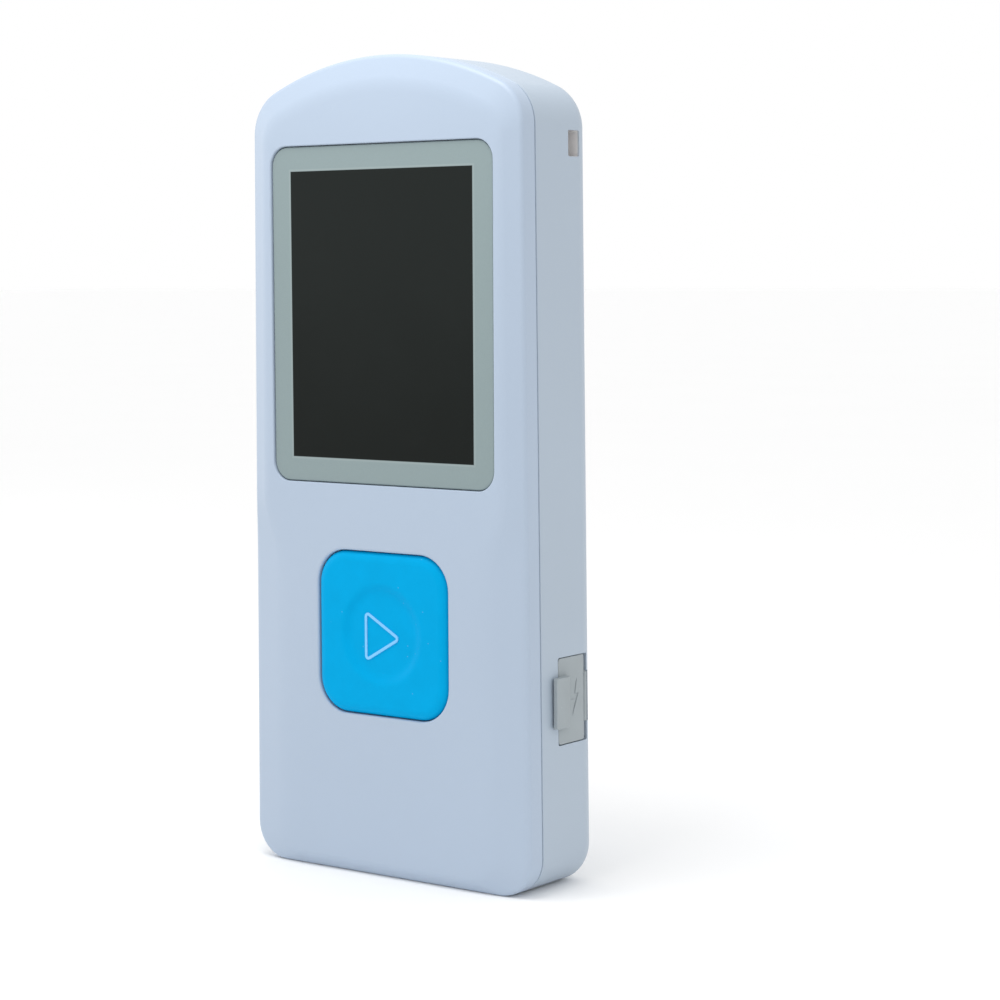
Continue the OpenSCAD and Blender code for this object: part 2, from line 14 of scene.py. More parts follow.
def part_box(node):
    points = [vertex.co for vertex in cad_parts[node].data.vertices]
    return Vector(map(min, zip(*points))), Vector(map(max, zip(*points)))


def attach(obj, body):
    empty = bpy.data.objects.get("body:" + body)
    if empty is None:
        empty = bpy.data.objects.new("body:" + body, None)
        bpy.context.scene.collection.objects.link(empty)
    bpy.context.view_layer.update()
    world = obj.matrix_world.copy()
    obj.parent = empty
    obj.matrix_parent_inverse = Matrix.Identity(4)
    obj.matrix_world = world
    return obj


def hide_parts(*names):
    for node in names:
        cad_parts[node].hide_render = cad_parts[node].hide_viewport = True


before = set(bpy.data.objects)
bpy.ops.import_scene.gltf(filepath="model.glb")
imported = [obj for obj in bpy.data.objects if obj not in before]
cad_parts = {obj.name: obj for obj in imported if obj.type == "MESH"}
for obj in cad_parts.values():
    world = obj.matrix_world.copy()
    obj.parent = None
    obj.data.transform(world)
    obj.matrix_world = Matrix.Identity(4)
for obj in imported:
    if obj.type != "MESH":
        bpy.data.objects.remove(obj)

MM = 0.001
QUARTER = math.pi / 2
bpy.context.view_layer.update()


def box_mm(node):
    """Lowest and highest corner of a frame node, in millimetres."""
    low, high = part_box(node)
    return low / MM, high / MM


# ---- Sizes taken from the frame ----

front_low, front_high = box_mm("front_cover")
rear_low, rear_high = box_mm("rear_cover")
lens_low, lens_high = box_mm("display_lens")
pad_low, pad_high = box_mm("scan_button")
sign_low, sign_high = box_mm("scan_symbol")
flap_low, flap_high = box_mm("port_cover")
label_low, label_high = box_mm("rear_label")
board_low, board_high = box_mm("main_board")
buzzer_low, buzzer_high = box_mm("buzzer")
socket_low, socket_high = box_mm("usb_shell")

# body
HEIGHT = front_high.z
HALF = front_high.x
FACE_Y = front_low.y
BACK_Y = rear_high.y
SEAM_Y = rear_low.y
TAPER = 0.009
CROWN_R = 41.6
SHOULDER_R = 5.6
CORNER_R = 4.5
WALL = 1.5
FRONT_FLOOR_Y = FACE_Y + 1.8
BACK_FLOOR_Y = BACK_Y - WALL
BEVEL_DEPTH = 1.8
BACK_ROUND = 2.4
BACK_EDGE = 2.8
GRIP_TOP = 38.5
GRIP_FADE = 8.0
GROOVE = 0.15
LIP_GAP = 0.12
LIP_WALL = 0.8
LIP_RISE = 1.4
# lens and display
LENS_X = (lens_low.x + lens_high.x) / 2
LENS_Z = (lens_low.z + lens_high.z) / 2
LENS_W = lens_high.x - lens_low.x
LENS_H = lens_high.z - lens_low.z
LENS_R = 2.35
LENS_GAP = 0.1
SCREEN_W = 28.03
SCREEN_H = 35.04
# button
PAD_Z = (pad_low.z + pad_high.z) / 2
PAD_W = 20.0
PAD_R = 4.2
PAD_GAP = 0.1
PAD_STEM_R = 2.2
PAD_HOLLOW_Y = FACE_Y + 1.3
# posts and screw wells, at the corners
SCREWS = [(-15.5, 7.0), (15.5, 7.0), (-11.0, 92.6), (11.0, 92.6)]
POST_R = 2.2
PILOT_R = 1.0
CLEAR_R = 1.15
WELL_R = 1.95
WELL_DEEP = 2.6
# sound holes
SOUND_R = 0.45
SOUND_RING_R = 1.6
# label
LABEL_R = 1.2
LABEL_GAP = 0.2
# charging port and its flap
PORT_Z = (flap_low.z + flap_high.z) / 2
FLAP_Y = (-0.4, 5.4)
FLAP_THICK = 0.9
FLAP_R = 0.5
FLAP_FALL = 0.34
FLAP_FALL_RUN = 0.8
TAB_HALF = 3.05
PORT_Y = (-0.5, 5.65)
PORT_HALF = 5.3
PORT_WALL = 1.1
SOCKET_GAP = 0.15
SOCKET_HALF = 3.95
LUG_HALF = 3.1
LUG_THICK = 1.3
ANCHOR_HIGH_Y = 6.6
BEAD_R = 0.25
# strap slot
SLOT_Z = 89.15
SLOT_H = 3.1
SLOT_Y = (2.7, 5.0)
SLOT_X = 15.7
SLOT_BAR_X = 17.9
SLOT_WALL = 0.8
# rows of small parts on the board, and the lower edge of the cell's tape
PARTS_LOW_Z = 8.7
PARTS_HIGH_Z = 32.7
PARTS_X = 12.7
TAPE_Z = 43.4
# camera, in degrees and millimetres
VIEW_TURN, VIEW_RISE, VIEW_ROLL = 36.54, 5.06, -0.28
VIEW_TARGET = (12.44, 0, 46.65)
VIEW_DISTANCE = 310.3
VIEW_LENS = 92.7


# ---- Drawing and skinning loops of edges ----

class Shape(NamedTuple):
    """How far an outline is drawn in at each side, base, crown and grip, and its corner radii."""
    side: float
    base: float
    crown: float
    grip: float
    corner: float
    shoulder: float

    def mix(self, other, share):
        return Shape(*(a + (b - a) * share for a, b in zip(self, other)))


FULL = Shape(0, 0, 0, 0, CORNER_R, SHOULDER_R)
FRONT_FLAT = Shape(2.7, 1.5, 3.5, 2.7, 3.4, 4.0)
BACK_FLAT = Shape(BACK_ROUND, 3.5, 3.2, 0, 2.4, 2.6)
FRONT_HOLLOW = Shape(2.2, 2.4, 2.4, 0.7, 2.0, 3.0)


def drawn_in(depth):
    return Shape(depth, depth, depth, 0, max(CORNER_R - depth, 0.8), max(SHOULDER_R - depth, 1.0))


def half_width(z):
    return HALF - TAPER * z


def smooth_step(t):
    t = min(max(t, 0), 1)
    return t * t * (3 - 2 * t)


def spin(bm, vert, centre, turn, steps):
    """Sweeps a vertex round an axis along Y and returns the last one."""
    made = bmesh.ops.spin(bm, geom=[vert], cent=centre, axis=(0, 1, 0), angle=turn, steps=steps)
    return made["geom_last"][0]


def line(bm, vert, end, steps=1):
    """Draws a straight run of edges from a vertex and returns the last one."""
    stride = (Vector(end) - vert.co) / steps
    for _ in range(steps):
        start = vert.co.copy()
        vert = bmesh.ops.extrude_vert_indiv(bm, verts=[vert])["verts"][0]
        vert.co = start + stride
    return vert


class NewEdges:
    """Collects the vertices and edges that the code inside the with block adds."""

    def __init__(self, bm):
        self.bm = bm

    def __enter__(self):
        self.old_verts = set(self.bm.verts)
        self.old_edges = set(self.bm.edges)
        return self

    def __exit__(self, *problem):
        pass

    def verts(self):
        return [v for v in self.bm.verts if v not in self.old_verts]

    def edges(self):
        return [e for e in self.bm.edges if e not in self.old_edges]


def outline(bm, y, shape):
    """Closed loop of the body's outline at one depth: the right half is spun, the left mirrored."""
    arch_z = HEIGHT - CROWN_R
    reach = CROWN_R - shape.crown
    cx = half_width(HEIGHT - 9) - shape.side - shape.shoulder
    cz = arch_z + math.sqrt((reach - shape.shoulder) ** 2 - cx ** 2)
    turn = math.atan2(cz - arch_z, cx)
    low = shape.base + shape.corner
    x = half_width(low) - shape.side
    with NewEdges(bm) as new:
        pen = bm.verts.new((x - shape.corner, y, shape.base))
        pen = spin(bm, pen, (x - shape.corner, y, low), -QUARTER, 10)
        pen = line(bm, pen, (cx + shape.shoulder, y, cz), 56)
        pen = spin(bm, pen, (cx, y, cz), -turn, 16)
        pen = spin(bm, pen, (0, y, arch_z), turn - QUARTER, 40)
        pen.co.x = 0
        bmesh.ops.mirror(bm, geom=new.verts() + new.edges(), axis="X", merge_dist=0.001)
        bm.edges.new([v for v in new.verts() if len(v.link_edges) == 1])
    for v in new.verts():
        hold = 1 - smooth_step((v.co.z - GRIP_TOP) / GRIP_FADE)
        v.co.x *= 1 - hold * shape.grip / (half_width(v.co.z) - shape.side)
    return new.edges()


def rounded_loop(bm, y, x, z, w, h, r, steps=10):
    """Closed loop of a rectangle with round corners, centred on x and z."""
    corners = ((1, 1, (r, 0, 0)), (-1, 1, (0, 0, r)), (-1, -1, (-r, 0, 0)), (1, -1, (0, 0, -r)))
    with NewEdges(bm) as new:
        pen = bm.verts.new((x + w / 2, y, z - h / 2 + r))
        first = pen
        for sx, sz, way in corners:
            corner = Vector((x + sx * (w / 2 - r), y, z + sz * (h / 2 - r)))
            pen = line(bm, pen, corner + Vector(way))
            pen = spin(bm, pen, corner, -QUARTER, steps)
        bmesh.ops.pointmerge(bm, verts=[pen, first], merge_co=first.co)
    return new.edges()


def round_loop(bm, y, x, z, r, steps=32):
    """Closed circle of edges."""
    place = Matrix.Translation((x, y, z)) @ Matrix.Rotation(QUARTER, 4, "X")
    with NewEdges(bm) as new:
        bmesh.ops.create_circle(bm, cap_ends=False, radius=r, segments=steps, matrix=place)
    return new.edges()


def fill(bm, *loops):
    """Fills a flat face inside the first loop and round the others."""
    bmesh.ops.triangle_fill(bm, use_beauty=True, edges=[e for loop in loops for e in loop])


def skin(bm, loops):
    """Joins each loop to the next: loops at one depth by a flat face, others by a bridge."""
    for near, far in zip(loops, loops[1:]):
        if abs(near[0].verts[0].co.y - far[0].verts[0].co.y) < 1e-5:
            fill(bm, near, far)
        else:
            bmesh.ops.bridge_loops(bm, edges=near + far)


def fillet(start, corner, end, steps=6):
    """Points of a soft corner between two straight runs, as (share, depth) pairs."""
    a, b, c = Vector(start), Vector(corner), Vector(end)
    shares = [i / steps for i in range(steps + 1)]
    return [a * (1 - t) ** 2 + b * 2 * t * (1 - t) + c * t * t for t in shares]


def mesh_object(bm, name):
    """Turns a bmesh drawn in millimetres into an object in metres."""
    bmesh.ops.remove_doubles(bm, verts=bm.verts, dist=0.0005)
    bmesh.ops.recalc_face_normals(bm, faces=bm.faces)
    bmesh.ops.scale(bm, vec=(MM, MM, MM), verts=bm.verts)
    mesh = bpy.data.meshes.new(name)
    bm.to_mesh(mesh)
    bm.free()
    obj = bpy.data.objects.new(name, mesh)
    bpy.context.scene.collection.objects.link(obj)
    return obj


def carve(obj, tool, operation="DIFFERENCE"):
    """Cuts a tool out of an object, or joins it on, and keeps the result as the object's mesh."""
    cut = obj.modifiers.new("cut", "BOOLEAN")
    cut.operation = operation
    cut.solver = "EXACT"
    cut.use_self = True
    cut.object = tool
    bpy.context.view_layer.update()
    shaped = bpy.data.meshes.new_from_object(obj.evaluated_get(bpy.context.evaluated_depsgraph_get()))
    obj.modifiers.clear()
    obj.data = shaped
    bpy.data.objects.remove(tool)


def finish_piece(obj, body, slot, material, *nodes, sharp=32):
    """Smooths a piece, gives it its material and ties it to the frame."""
    mesh = obj.data
    for face in mesh.polygons:
        face.use_smooth = True
    mesh.set_sharp_from_angle(angle=math.radians(sharp))
    even = obj.modifiers.new("even_normals", "WEIGHTED_NORMAL")
    even.keep_sharp = True
    mesh.materials.clear()
    mesh.materials.append(material)
    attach(obj, body)
    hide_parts(*nodes)
    return obj


# ---- Shader maths ----

class Value:
    """A socket that takes part in Python expressions; each operator adds a Math node."""

    def __init__(self, finish, socket):
        self.finish = finish
        self.socket = socket

    def __add__(self, other):
        return self.finish.math("ADD", self, other)

    def __sub__(self, other):
        return self.finish.math("SUBTRACT", self, other)

    def __rsub__(self, other):
        return self.finish.math("SUBTRACT", other, self)

    def __mul__(self, other):
        return self.finish.math("MULTIPLY", self, other)

    __radd__ = __add__
    __rmul__ = __mul__


class Finish:
    """One material: a Principled surface and the nodes that vary it."""

    def __init__(self, name, **surface):
        self.material = bpy.data.materials.new(name)
        self.material.use_nodes = True
        self.tree = self.material.node_tree
        self.surface = self.tree.nodes["Principled BSDF"]
        self.set(self.surface, surface)
        place = self.node("ShaderNodeTexCoord").outputs["Object"]
        self.place = self.node("ShaderNodeMapping", {}, Vector=place, Scale=(1 / MM,) * 3).outputs[0]
        split = self.node("ShaderNodeSeparateXYZ", {}, Vector=self.place)
        self.x, self.y, self.z = (Value(self, socket) for socket in split.outputs)

    def set(self, node, sockets):
        for key, value in sockets.items():
            socket = node.inputs[key.replace("_", " ") if isinstance(key, str) else key]
            value = value.socket if isinstance(value, Value) else value
            if isinstance(value, bpy.types.NodeSocket):
                self.tree.links.new(value, socket)
            else:
                socket.default_value = (*value, 1) if socket.type == "RGBA" and len(value) == 3 else value

    def node(self, kind, settings=None, numbered=None, **sockets):
        made = self.tree.nodes.new(kind)
        for key, value in (settings or {}).items():
            setattr(made, key, value)
        self.set(made, numbered or {})
        self.set(made, sockets)
        return made

    def math(self, operation, a, b=0.0):
        made = self.node("ShaderNodeMath", {"operation": operation}, {0: a, 1: b})
        return Value(self, made.outputs[0])

    def ramp(self, value, low, high):
        """0 below low, 1 above high and smooth between."""
        made = self.node("ShaderNodeMapRange", {"interpolation_type": "SMOOTHSTEP"},
                         Value=value, From_Min=low, From_Max=high)
        return Value(self, made.outputs[0])

    def stretched(self, scale, turn=(0, 0, 0)):
        return self.node("ShaderNodeMapping", {}, Vector=self.place, Scale=scale, Rotation=turn).outputs[0]

    def noise(self, scale, detail=2.0, place=None):
        """Soft random value with about `scale` waves in a millimetre."""
        made = self.node("ShaderNodeTexNoise", {}, Vector=place or self.place, Scale=scale, Detail=detail)
        return Value(self, made.outputs[0])

    def cells(self, scale, feature="F1", place=None):
        """Distance to the nearest of about `scale` points in a millimetre."""
        place = place or self.place
        made = self.node("ShaderNodeTexVoronoi", {"feature": feature}, Vector=place, Scale=scale)
        return Value(self, made.outputs["Distance"])

    def mix(self, share, a, b):
        """Colour between a and b."""
        made = self.node("ShaderNodeMix", {"data_type": "RGBA"}, {0: share, 6: a, 7: b})
        return made.outputs[2]

    def bump(self, height, depth):
        """Relief of a height from 0 to 1, with its depth in millimetres."""
        made = self.node("ShaderNodeBump", {}, Height=height, Distance=depth * MM, Strength=1.0)
        self.set(self.surface, {"Normal": made.outputs[0]})

    def rect(self, x, z, w, h, edge):
        """1 inside a rectangle of the front view and 0 outside."""
        dx = self.math("ABSOLUTE", self.x - x) - w / 2
        dz = self.math("ABSOLUTE", self.z - z) - h / 2
        return 1 - self.ramp(self.math("MAXIMUM", dx, dz), -edge, edge)


def tint(colour, share):
    return tuple(channel * share for channel in colour)


# ---- Materials ----

def slot_painted_light_mask(f):
    """1 inside the strap slot, behind its mouths and short of the bar at the corner; the mask for the light
    painted on the slot's inner walls.
    """
    level = 1 - f.ramp(f.math("ABSOLUTE", f.z - SLOT_Z), SLOT_H / 2 - 0.05, SLOT_H / 2 + 0.05)
    bar_x = f.ramp(f.x, SLOT_BAR_X + 0.05, SLOT_BAR_X + 0.2)
    bar_y = f.ramp(f.y, SLOT_Y[1] + 0.05, SLOT_Y[1] + 0.2)
    along = f.ramp(f.x, SLOT_X - 0.8, SLOT_X - 0.3) * (1 - f.ramp(f.x, HALF - 1.2, HALF - 0.8))
    deep = f.ramp(f.y, SLOT_Y[0] - 0.2, SLOT_Y[0]) * (1 - f.ramp(f.y, BACK_Y - 0.4, BACK_Y - 0.2))
    return level * along * deep * (1 - bar_x * bar_y)


def moulded_shell(name, colour):
    """Satin housing plastic with a spark-eroded grain, faint handling streaks, dust and painted light
    inside the strap slot.
    """
    f = Finish(name, Specular_IOR_Level=0.45)
    drift = f.noise(0.05, 3)
    streak = f.noise(1.4, 4, f.stretched((0.12, 1, 1.6), (0.3, 0.5, 0.2)))
    specks = 1 - f.ramp(f.cells(0.9), 0.03, 0.07)
    base = f.mix(drift, tint(colour, 0.965), tint(colour, 1.02))
    base = f.mix(specks * 0.2, base, tint(colour, 0.85))
    # painted light: the strap slot's inner walls get a pale warm grey that stands in for light reaching
    # into the slot
    base = f.mix(slot_painted_light_mask(f), base, SLOT_PAINTED_LIGHT)
    grain = f.noise(5.5, 3)
    wear = f.ramp(streak, 0.55, 0.8)
    f.set(f.surface, {"Base_Color": base, "Roughness": 0.36 + grain * 0.1 + wear * 0.08})
    f.bump(grain + f.noise(0.6, 2) * 0.3, 0.004)
    return f.material


def printed_lens(name):
    """Clear panel with a grey border printed behind it and a dark window with a painted reflection that
    lightens towards the top.
    """
    f = Finish(name, Specular_IOR_Level=0.15)
    window = f.rect(LENS_X, LENS_Z, SCREEN_W, SCREEN_H, 0.05)
    keyline = f.rect(LENS_X, LENS_Z, SCREEN_W + 0.5, SCREEN_H + 0.5, 0.06)
    print_grain = f.noise(9, 2)
    border = f.mix(print_grain, (0.235, 0.294, 0.302), (0.262, 0.329, 0.336))
    border = f.mix(keyline * 0.35, border, (0.34, 0.40, 0.40))
    # painted reflection: the dark window is painted lighter towards the top, with a little noise, as a
    # stand-in for the glass reflecting the room
    window_painted_sheen = f.ramp(f.z - LENS_Z + f.noise(0.08) * 14, -16, 20)
    dark = f.mix(window_painted_sheen, (0.004, 0.006, 0.005), (0.009, 0.012, 0.011))
    smudge = f.ramp(f.noise(0.22, 5), 0.52, 0.72)
    f.set(f.surface, {
        "Base_Color": f.mix(window, border, dark),
        "Roughness": 0.1 + smudge * 0.1 + f.noise(1.5, 4) * 0.04,
    })
    f.bump(f.noise(0.25, 2), 0.004)
    return f.material


def soft_rubber(name, colour, gloss=0.5, shine=0.15):
    """Moulded silicone: matte, faintly mottled, with fine grain and lint."""
    f = Finish(name, Specular_IOR_Level=shine)
    mottle = f.noise(0.35, 4)
    lint = 1 - f.ramp(f.cells(0.7), 0.02, 0.06)
    base = f.mix(mottle, tint(colour, 0.94), tint(colour, 1.05))
    base = f.mix(lint * 0.2, base, (0.8, 0.82, 0.85))
    grain = f.noise(7, 3)
    f.set(f.surface, {"Base_Color": base, "Roughness": gloss + grain * 0.12 - mottle * 0.05})
    f.bump(grain, 0.01)
    return f.material


def plain_plastic(name, colour, gloss):
    """Small moulded parts: colour drift, flow lines and a fine matt texture."""
    f = Finish(name, Specular_IOR_Level=0.45)
    flow = f.noise(1.2, 4, f.stretched((0.3, 1, 1)))
    f.set(f.surface, {
        "Base_Color": f.mix(flow, tint(colour, 0.85), tint(colour, 1.1)),
        "Roughness": gloss + flow * 0.15,
    })
    f.bump(f.noise(4, 2), 0.002)
    return f.material


def foam(name, colour):
    """Closed-cell foam with visible cells."""
    f = Finish(name, Specular_IOR_Level=0.2, Roughness=0.95)
    cell = f.cells(5)
    f.set(f.surface, {"Base_Color": f.mix(cell, tint(colour, 1.5), tint(colour, 0.6))})
    f.bump(cell, 0.06)
    return f.material


def worked_metal(name, colour, rough, stretch=(0.15, 1, 2.5)):
    """Rolled or drawn metal with fine lines along one direction and dull patches."""
    f = Finish(name, Metallic=1.0)
    lines = f.noise(6, 4, f.stretched(stretch))
    patch = f.noise(0.5, 4)
    f.set(f.surface, {
        "Base_Color": f.mix(patch, tint(colour, 0.82), tint(colour, 1.04)),
        "Roughness": rough + lines * 0.15 + patch * 0.08,
    })
    f.bump(lines, 0.006)
    return f.material


def circuit_board(name):
    """Green resist over copper tracks, with plated holes."""
    f = Finish(name, Coat_Roughness=0.15, Coat_Weight=0.4)
    grid = f.cells(0.42, "DISTANCE_TO_EDGE", f.stretched((1, 0, 1)))
    track = 1 - f.ramp(grid, 0.05, 0.09)
    hole = 1 - f.ramp(f.cells(0.38), 0.1, 0.13)
    base = f.mix(track, (0.010, 0.085, 0.035), (0.022, 0.17, 0.07))
    base = f.mix(hole, base, (0.62, 0.58, 0.42))
    f.set(f.surface, {"Base_Color": base, "Roughness": 0.32 + f.noise(3) * 0.1, "Metallic": hole * 0.9})
    f.bump(track + hole, 0.03)
    return f.material


def chip_epoxy(name):
    """Black moulded packages with a finely sanded top."""
    f = Finish(name, Specular_IOR_Level=0.35)
    grain = f.noise(9, 2)
    f.set(f.surface, {
        "Base_Color": f.mix(grain, (0.014, 0.015, 0.017), (0.035, 0.036, 0.039)),
        "Roughness": 0.5 + grain * 0.25,
    })
    f.bump(grain, 0.015)
    return f.material


def tinned_ceramic(name):
    """Tan ceramic blocks with tinned ends along each row."""
    f = Finish(name)
    rows = [f.z - PARTS_LOW_Z, f.z - PARTS_HIGH_Z, f.x - PARTS_X]
    ends = None
    for row in rows:
        away = f.math("ABSOLUTE", row)
        end = f.ramp(away, 0.42, 0.46) * (1 - f.ramp(away, 0.75, 0.8))
        ends = end if ends is None else f.math("MAXIMUM", ends, end)
    f.set(f.surface, {
        "Base_Color": f.mix(ends, (0.38, 0.26, 0.15), (0.70, 0.70, 0.68)),
        "Metallic": ends * 0.9,
        "Roughness": 0.45 + f.noise(4) * 0.15,
    })
    f.bump(f.noise(8), 0.01)
    return f.material


def foil_pouch(name):
    """Creased foil cell with an amber tape strip over its top edge."""
    f = Finish(name)
    crease = f.noise(0.35, 5)
    tape = f.ramp(f.z, TAPE_Z, TAPE_Z + 0.1)
    f.set(f.surface, {
        "Base_Color": f.mix(tape, (0.60, 0.61, 0.62), (0.62, 0.27, 0.03)),
        "Metallic": 0.85 - tape * 0.8,
        "Roughness": 0.3 + crease * 0.2,
    })
    f.bump(crease + f.noise(3) * 0.1, 0.12)
    return f.material


def wound_copper(name):
    """Enamelled wire: turns of wire lie side by side round the bobbin."""
    f = Finish(name, Metallic=1.0, Coat_Weight=0.5, Coat_Roughness=0.1)
    coil_low, coil_high = box_mm("antenna_coil")
    mid_z = (coil_low.z + coil_high.z) / 2
    dx = f.math("MAXIMUM", f.math("ABSOLUTE", f.x) - (coil_high.x - 6), 0.0)
    dz = f.math("MAXIMUM", f.math("ABSOLUTE", f.z - mid_z) - (coil_high.z - mid_z - 6), 0.0)
    away = f.math("SQRT", dx * dx + dz * dz)
    turns = f.math("SINE", away * 26) * f.math("SINE", f.y * 26)
    tone = f.noise(0.4, 3)
    f.set(f.surface, {
        "Base_Color": f.mix(tone, (0.42, 0.13, 0.04), (0.62, 0.25, 0.09)),
        "Roughness": 0.25 + tone * 0.15,
    })
    f.bump(turns * 0.5 + 0.5, 0.08)
    return f.material


def film(name, colour):
    """Printed polyester film with a fine blank frame line."""
    f = Finish(name, Specular_IOR_Level=0.35)
    mid = (label_low + label_high) / 2
    size = label_high - label_low
    line_out = f.rect(mid.x, mid.z, size.x - 2, size.z - 2, 0.05)
    line_in = f.rect(mid.x, mid.z, size.x - 2.5, size.z - 2.5, 0.05)
    tone = f.noise(0.3, 3)
    base = f.mix(tone, tint(colour, 0.96), tint(colour, 1.02))
    base = f.mix((line_out - line_in) * 0.6, base, (0.25, 0.29, 0.34))
    f.set(f.surface, {"Base_Color": base, "Roughness": 0.45 + f.noise(5) * 0.1})
    f.bump(f.noise(4), 0.004)
    return f.material


def amber_film(name):
    """Ribbon cable: amber film over parallel copper tracks."""
    f = Finish(name, Coat_Weight=0.3, Coat_Roughness=0.2)
    tracks = f.ramp(f.math("SINE", f.x * 9), -0.1, 0.3)
    f.set(f.surface, {
        "Base_Color": f.mix(tracks, (0.40, 0.16, 0.02), (0.66, 0.36, 0.09)),
        "Roughness": 0.3 + f.noise(2) * 0.1,
    })
    f.bump(tracks, 0.02)
    return f.material


# pale warm grey painted inside the strap slot as painted light, lighter than the shaded cavity would render
SLOT_PAINTED_LIGHT = (0.78, 0.76, 0.75)
SHELL_WHITE = (0.405, 0.487, 0.60)
# painted shade: the rear cover is the same white plastic as the front, given a darker, warmer copy of its
# colour for the side that faces away from the light
REAR_WHITE_PAINTED_SHADE = (0.40, 0.472, 0.555)
front_plastic = moulded_shell("front_shell_plastic", SHELL_WHITE)
rear_plastic = moulded_shell("rear_shell_plastic", REAR_WHITE_PAINTED_SHADE)
pad_rubber = soft_rubber("button_rubber", (0.0, 0.355, 0.69), 0.42, 0.03)
flap_rubber = soft_rubber("flap_rubber", (0.345, 0.385, 0.405), 0.55)
sign_plastic = plain_plastic("play_sign_inlay", (0.20, 0.55, 0.92), 0.4)
lens_panel = printed_lens("lens_panel")
steel = worked_metal("sheet_steel", (0.60, 0.60, 0.61), 0.3)
spring_steel = worked_metal("spring_steel", (0.66, 0.66, 0.67), 0.2)
can_metal = worked_metal("drawn_can_metal", (0.70, 0.70, 0.71), 0.24, (2, 1, 0.3))
gold = worked_metal("gold_plate", (0.86, 0.60, 0.24), 0.22)
zinc = worked_metal("zinc_screw_steel", (0.42, 0.43, 0.45), 0.34, (1, 1, 1))
ivory_nylon = plain_plastic("ivory_nylon", (0.74, 0.70, 0.58), 0.45)
black_nylon = plain_plastic("black_nylon", (0.028, 0.028, 0.031), 0.42)
panel_glass = plain_plastic("panel_glass", (0.015, 0.018, 0.018), 0.08)
diffuser = plain_plastic("white_diffuser", (0.82, 0.82, 0.79), 0.35)
black_foam = foam("black_foam", (0.035, 0.037, 0.04))
white_foam = foam("white_foam", (0.70, 0.69, 0.63))
lead_rubber = soft_rubber("lead_insulation", (0.50, 0.03, 0.02), 0.4)


# ---- Pieces ----

def front_shell():
    """Front cover: bevelled outside, recess for the lens, button opening, posts and lip."""
    bm = bmesh.new()
    section = fillet((-0.3, 0), (0.04, 0), (0.26, 0.13)) + fillet((0.84, 0.47), (1, 0.57), (1, 0.85))
    outer = [
        outline(bm, FACE_Y + BEVEL_DEPTH * depth, FRONT_FLAT.mix(FULL, share))
        for share, depth in section
    ]
    lip_out = drawn_in(WALL + LIP_GAP)
    lip_in = drawn_in(WALL + LIP_GAP + LIP_WALL)
    lip_y = SEAM_Y + LIP_RISE
    root_y = SEAM_Y - 0.6
    inside = [
        outline(bm, SEAM_Y - 0.1, FULL), outline(bm, SEAM_Y, drawn_in(0.1)),
        outline(bm, SEAM_Y, lip_out), outline(bm, lip_y - 0.1, lip_out),
        outline(bm, lip_y, lip_out.mix(lip_in, 0.1)), outline(bm, lip_y, lip_in),
        outline(bm, root_y, lip_in), outline(bm, root_y, FRONT_HOLLOW),
        outline(bm, FRONT_FLOOR_Y, FRONT_HOLLOW),
    ]
    skin(bm, outer + inside)

    recess_y = lens_high.y + 0.1
    edge = fillet((0.26, 0), (LENS_GAP, 0), (LENS_GAP, 0.22), 4)
    recess = [
        rounded_loop(bm, FACE_Y + depth, LENS_X, LENS_Z, LENS_W + 2 * gap, LENS_H + 2 * gap, LENS_R + gap)
        for gap, depth in [*edge, (LENS_GAP, recess_y - FACE_Y)]
    ]
    skin(bm, recess)
    window = [
        rounded_loop(bm, y, LENS_X, LENS_Z, SCREEN_W + 1, SCREEN_H + 1, 0.3, 3)
        for y in (recess_y, FRONT_FLOOR_Y)
    ]
    fill(bm, recess[-1], window[0])
    skin(bm, window)

    pad_edge = fillet((0.45, 0), (PAD_GAP, 0), (PAD_GAP, 0.35), 5)
    opening = [
        rounded_loop(bm, FACE_Y + depth, 0, PAD_Z, PAD_W + 2 * gap, PAD_W + 2 * gap, PAD_R + gap)
        for gap, depth in [*pad_edge, (PAD_GAP, FRONT_FLOOR_Y - FACE_Y)]
    ]
    skin(bm, opening)
    fill(bm, outer[0], recess[0], opening[0])

    feet = []
    for x, z in SCREWS:
        post = [
            round_loop(bm, y, x, z, r)
            for y, r in ((FRONT_FLOOR_Y, POST_R), (board_low.y, POST_R), (board_low.y, PILOT_R),
                         (FRONT_FLOOR_Y + 0.3, PILOT_R))
        ]
        skin(bm, post)
        fill(bm, post[-1])
        feet.append(post[0])
    fill(bm, inside[-1], window[-1], opening[-1], *feet)
    shell = mesh_object(bm, "front_shell")
    return finish_piece(shell, "housing", "front_shell", front_plastic, "front_cover")


def block(bm, x, y, z, r=0.0):
    """Box between two limits along each axis, with its edges along X rounded by r."""
    with NewEdges(bm) as new:
        bmesh.ops.create_cube(bm, size=1)
    span = [Vector(pair) for pair in (x, y, z)]
    for v in new.verts():
        v.co = [(s.x + s.y) / 2 + c * (s.y - s.x) for s, c in zip(span, v.co)]
    if r:
        along = [e for e in new.edges() if abs(e.verts[0].co.x - e.verts[1].co.x) > 1e-4]
        bmesh.ops.bevel(bm, geom=along, offset=r, segments=5, profile=0.5, affect="EDGES", material=-1)


def about(middle, half):
    """Two limits, one on each side of a middle."""
    return middle - half, middle + half


